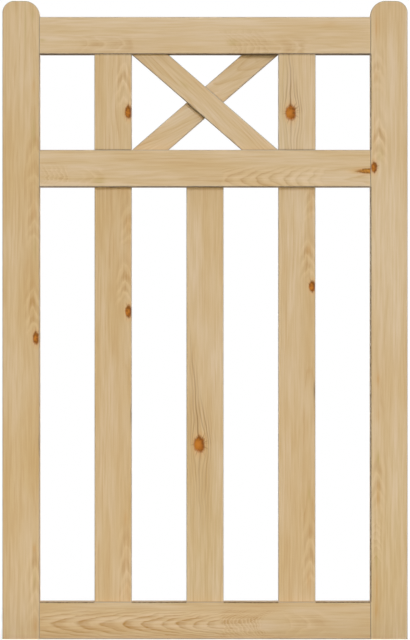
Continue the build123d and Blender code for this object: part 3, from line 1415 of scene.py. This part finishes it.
BOARDS = [
    Board(
        "left_stile", Grain.UPRIGHT, pith=(0.020, 0.022), lean=(0.0, 0.015), seed=1.7, tone=0.60,
        contrast=0.38,
        knots=(Knot(-0.318, 0.566, 0.0056, 0.0120),),
        arches=(
            Arches(-0.3225, 0.579, strength=0.7),
            Arches(-0.3210, 0.741, length=0.130, strength=0.45),
            Arches(-0.3210, 0.848, length=0.110, bands=2.0, strength=0.5, fade=0.8),
            Arches(-0.3190, 0.030, length=0.160, strength=0.5, fade=0.7),
        ),
        stains=(
            Stain(-0.3387, 1.156, 0.002, 0.040, OLIVE, 0.5),
            Stain(-0.3237, 1.175, 0.004, 0.012, OLIVE, 0.4),
            Stain(-0.3229, 1.038, 0.0028, 0.015, RESIN, 0.5),
            Stain(-0.3229, 0.955, 0.0032, 0.024, OLIVE, 0.7),
            Stain(-0.3221, 0.808, 0.0032, 0.022, RESIN, 0.45),
            Stain(-0.3200, 0.735, 0.0035, 0.018, OLIVE, 0.5),
            Stain(-0.3110, 0.367, 0.0018, 0.018, DARK, 0.8),
            Stain(-0.3212, 0.171, 0.0028, 0.009, RESIN, 0.5),
            Stain(-0.3200, 0.112, 0.0030, 0.014, OLIVE, 0.5),
            Stain(-0.3190, 0.027, 0.0050, 0.018, RESIN, 0.4),
        ),
        # Painted shade on the left stile's inner face, beside the openings.
        seams_and_shade=stile_edge_shade(-0.3115, strength=0.35, depth=0.009),
    ),
    Board(
        "right_stile", Grain.UPRIGHT, pith=(-0.022, 0.024), lean=(0.0, -0.012), seed=5.3, tone=0.29,
        contrast=0.34,
        knots=(Knot(0.318, 0.887, 0.0056, 0.0105),),
        arches=(
            Arches(0.3268, 0.900),
            Arches(0.3240, 1.030, length=0.110, strength=0.5),
            Arches(0.3235, 0.235, length=0.120, strength=0.5, fade=0.7),
            Arches(
                0.3225, 0.150, 0.011, 0.082, bend=0.0, droop=0.2, bands=13.8, crowding=2.0, softness=0.3,
                start=0.05, strength=0.6, near=1.0, fade=0.85,
            ),
        ),
        stains=(
            Stain(0.3229, 1.148, 0.0045, 0.026, RESIN, 0.5),
            Stain(0.3216, 1.058, 0.0030, 0.011, RESIN, 0.45),
            Stain(0.3200, 0.950, 0.0040, 0.060, RESIN, 0.25),
            Stain(0.3250, 0.489, 0.0030, 0.012, RESIN, 0.5),
            Stain(0.3247, 0.420, 0.0030, 0.012, RESIN, 0.35),
            Stain(0.3257, 0.340, 0.0030, 0.012, OLIVE, 0.6),
            Stain(0.3250, 0.267, 0.0035, 0.024, RESIN, 0.45),
            Stain(0.3235, 0.147, 0.0035, 0.014, OLIVE, 0.6),
            Stain(0.3220, 0.098, 0.0032, 0.026, RESIN, 0.55),
            Stain(0.3222, 0.052, 0.0040, 0.016, RESIN, 0.5),
            Stain(0.3290, 0.911, 0.006, 0.012, OLIVE, 0.35),
            Stain(0.3460, 0.150, 0.050, 0.200, OLIVE, 0.2),
        ),
        # Painted shade on the right stile's inner face, beside the openings.
        seams_and_shade=stile_edge_shade(0.3116, strength=1.0, half_width=0.0014, depth=0.012),
    ),
    Board(
        "top_rail", Grain.LEVEL, pith=(0.014, 0.028), lean=(0.0, -0.02), spacing=0.0034, seed=9.1,
        tone=0.07, contrast=0.4,
        arches=(
            Arches(
                0.032, 1.1070, 0.034, 0.095, bend=0.0, droop=0.28, bands=21.7, crowding=2.0, softness=0.3,
                start=0.1, strength=0.45, near=1.0, fade=0.85, legs=0.9, pale=0.3,
            ),
            Arches(
                0.032, 1.1120, 0.020, 0.160, bend=0.0, droop=0.16, bands=5.0, crowding=0.3, softness=0.6,
                start=0.42, strength=0.7, fade=0.95, pale=0.1,
            ),
            Arches(
                -0.2823, 1.118, 0.016, 0.150, bend=0.08, droop=0.1, bands=3.95, crowding=0.25,
                softness=0.5, start=0.2, strength=0.7, fade=0.95, pale=0.1,
            ),
        ),
        stains=(
            Stain(-0.3067, 1.126, 0.003, 0.006, OLIVE, 0.5),
            Stain(0.0530, 1.121, 0.005, 0.009, OLIVE, 0.5),
            Stain(0.2312, 1.156, 0.004, 0.014, RESIN, 0.3),
        ),
        # Painted shade on the top rail's underside.
        seams_and_shade=(SeamAndShade(0.0, 1.1000, 0.622, strength=0.75, half_width=0.0016, depth=0.06),),
    ),
    Board(
        "middle_rail", Grain.LEVEL, pith=(0.018, 0.032), lean=(0.0, -0.015), spacing=0.0032, seed=12.4,
        tone=0.24, contrast=0.35,
        knots=(Knot(0.311, 0.880, 0.0050, 0.0260, lift=0.0, age=0.35, golden=0.5),),
        arches=(
            Arches(
                0.2388, 0.8641, 0.022, -0.212, bend=0.36, droop=0.06, bands=20.0, crowding=2.0,
                softness=0.0, start=0.05, strength=0.5, near=0.8, fade=0.97, sharpness=2.0, legs=0.8,
            ),
            Arches(
                -0.312, 0.8727, 0.018, 0.060, bend=0.0, droop=0.15, bands=19.0, crowding=2.0,
                softness=0.4, start=0.1, strength=0.7, near=1.0, fade=0.85, sharpness=2.0,
            ),
            Arches(
                -0.312, 0.8680, 0.016, 0.128, bend=0.1, droop=0.1, bands=6.0, crowding=0.3, softness=0.5,
                start=0.45, strength=0.55, near=1.0, fade=0.9,
            ),
        ),
        stains=(
            Stain(-0.198, 0.862, 0.005, 0.011, OLIVE, 0.75),
            Stain(0.2835, 0.8788, 0.0035, 0.009, OLIVE, 0.7),
        ),
        seams_and_shade=(
            # Painted shade along the middle rail's lower edge; the short line after it is a bark line
            # above the knot.
            SeamAndShade(0.0, 0.8512, 0.622, strength=0.6, half_width=0.0009),
            SeamAndShade(0.3040, 0.8838, 0.016, strength=0.6, half_width=0.0010),
        ),
    ),
    Board(
        "bottom_rail", Grain.LEVEL, pith=(0.001, 0.030), spacing=0.0032, seed=15.9, tone=0.5,
        arches=(
            Arches(
                0.1390, 0.0285, 0.024, -0.463, bend=0.0, droop=0.25, bands=12.0, crowding=0.374,
                softness=0.15, start=0.12, strength=1.0, near=1.0, fade=0.94, sharpness=2.0, legs=0.7,
            ),
            Arches(
                0.1259, 0.0270, 0.026, -0.105, bend=0.0, droop=0.28, bands=50.0, crowding=3.0,
                softness=0.4, start=0.1, strength=1.0, near=1.0, fade=0.85, sharpness=2.0, legs=0.9,
            ),
            Arches(
                0.1259, 0.0285, 0.022, 0.113, bend=0.3, droop=0.1, bands=2.0, crowding=0.1, softness=0.4,
                start=0.15, strength=0.5, fade=0.8,
            ),
        ),
        stains=(Stain(-0.1300, 0.022, 0.018, 0.200, RESIN, 0.2),),
        # Painted shade on the bottom rail's top face and edge in the lower openings.
        seams_and_shade=rail_edge_shade(0.0695, strength=1.0, half_width=0.0015, depth=0.013),
    ),
    Board(
        "upper_left_bar", Grain.UPRIGHT, pith=(0.022, 0.020), seed=20.2, tone=0.62,
        knots=(Knot(-0.144, 0.991, 0.0062, 0.0126),),
        arches=(Arches(-0.1521, 1.004),),
        stains=(Stain(-0.1420, 1.040, 0.004, 0.040, RESIN, 0.3),),
        seams_and_shade=bar_ends(-BAR_PITCH),
    ),
    Board(
        "upper_right_bar", Grain.UPRIGHT, pith=(-0.085, 0.025), spacing=0.0036, seed=24.6, tone=0.2,
        knots=(
            Knot(0.1615, 0.990, 0.0098, 0.0142, parting=0.85, reach=3.2, split=0.180, lean=-0.03, age=0.0),
        ),
        stains=(Stain(0.1500, 1.010, 0.011, 0.100, OLIVE, 0.2),),
        seams_and_shade=bar_ends(BAR_PITCH),
    ),
    Board(
        "lower_left_bar", Grain.UPRIGHT, pith=(0.022, 0.030), lean=(0.0, 0.012), seed=28.8, tone=0.5,
        knots=(Knot(-0.144, 0.616, 0.0062, 0.0120),),
        arches=(
            Arches(-0.1515, 0.6315),
            Arches(-0.1450, 0.745, length=0.110, strength=0.6),
            Arches(-0.1470, 0.075, length=0.150, strength=0.55, fade=0.7),
        ),
        stains=(
            Stain(-0.1450, 0.780, 0.0030, 0.012, RESIN, 0.45),
            Stain(-0.1430, 0.715, 0.0040, 0.050, RESIN, 0.3),
            Stain(-0.1388, 0.421, 0.0018, 0.018, DARK, 0.8),
            Stain(-0.1485, 0.226, 0.0030, 0.013, RESIN, 0.5),
            Stain(-0.1480, 0.154, 0.0040, 0.030, RESIN, 0.3),
            Stain(-0.1480, 0.093, 0.0045, 0.018, RESIN, 0.45),
        ),
    ),
    Board(
        "lower_centre_bar", Grain.UPRIGHT, pith=(-0.085, 0.030), spacing=0.0036, seed=33.1, tone=0.33,
        knots=(
            Knot(
                -0.0105, 0.366, 0.0102, 0.0155, parting=0.85, reach=3.2, split=0.260, lean=-0.08, age=0.08,
            ),
        ),
        stains=(Stain(0.0, 0.170, 0.050, 0.160, OLIVE, 0.25),),
    ),
    Board(
        "lower_right_bar", Grain.UPRIGHT, pith=(0.024, 0.030), lean=(0.0, 0.012), seed=37.7, tone=0.4,
        knots=(Knot(0.2018, 0.663, 0.0060, 0.0108),),
        arches=(
            Arches(0.1944, 0.6785, strength=0.7),
            Arches(0.2000, 0.790, length=0.110, strength=0.6),
            Arches(0.1990, 0.100, length=0.130, strength=0.55, fade=0.7),
        ),
        stains=(
            Stain(0.2000, 0.815, 0.0035, 0.030, RESIN, 0.35),
            Stain(0.1955, 0.732, 0.0035, 0.013, RESIN, 0.4),
            Stain(0.2062, 0.465, 0.0018, 0.017, DARK, 0.7),
            Stain(0.1961, 0.271, 0.0022, 0.012, OLIVE, 0.7),
            Stain(0.1960, 0.108, 0.0045, 0.020, RESIN, 0.5),
        ),
    ),
    Board(
        "front_brace", Grain.FALLING, pith=(0.030, 0.030), lean=(0.0, 0.08), seed=41.3, tone=0.08,
        contrast=0.55,
        stains=(Stain(-0.0390, 1.0425, 0.005, 0.010, OLIVE, 0.5),),
        # Dark joint line where the brace meets the middle rail, partly painted shade.
        seams_and_shade=(SeamAndShade(0.1037, 0.9206, 0.069, strength=0.35),),
    ),
    Board(
        "rear_brace", Grain.RISING, pith=(-0.020, 0.030), lean=(0.0, -0.08), seed=46.9, tone=0.05,
        contrast=0.55, skew=-0.2,
        seams_and_shade=(
            # Dark joint line where the brace meets the middle rail, partly painted shade.
            SeamAndShade(-0.1037, 0.9206, 0.069, strength=0.15),
            # Painted shadow of the front brace on the rear brace, below the crossing; the next line is the
            # joint above it.
            SeamAndShade(-0.0153, 0.9924, 0.046, CROSSING_SLOPE, 0.9),
            SeamAndShade(0.0151, 1.0274, 0.046, CROSSING_SLOPE, 0.3),
            # Painted shadow of the top rail on the rear brace's top end.
            SeamAndShade(0.1037, 1.0985, 0.069, strength=0.5, half_width=0.0030, depth=0.008),
        ),
    ),
]


def main() -> None:
    """Dress the gate and set up its studio."""
    logging.basicConfig(level=logging.INFO, format="%(name)s: %(message)s")
    Timbers(BOARDS).dress()
    Fastenings().dress()
    Studio().build()


if __name__ == "__main__":
    main()
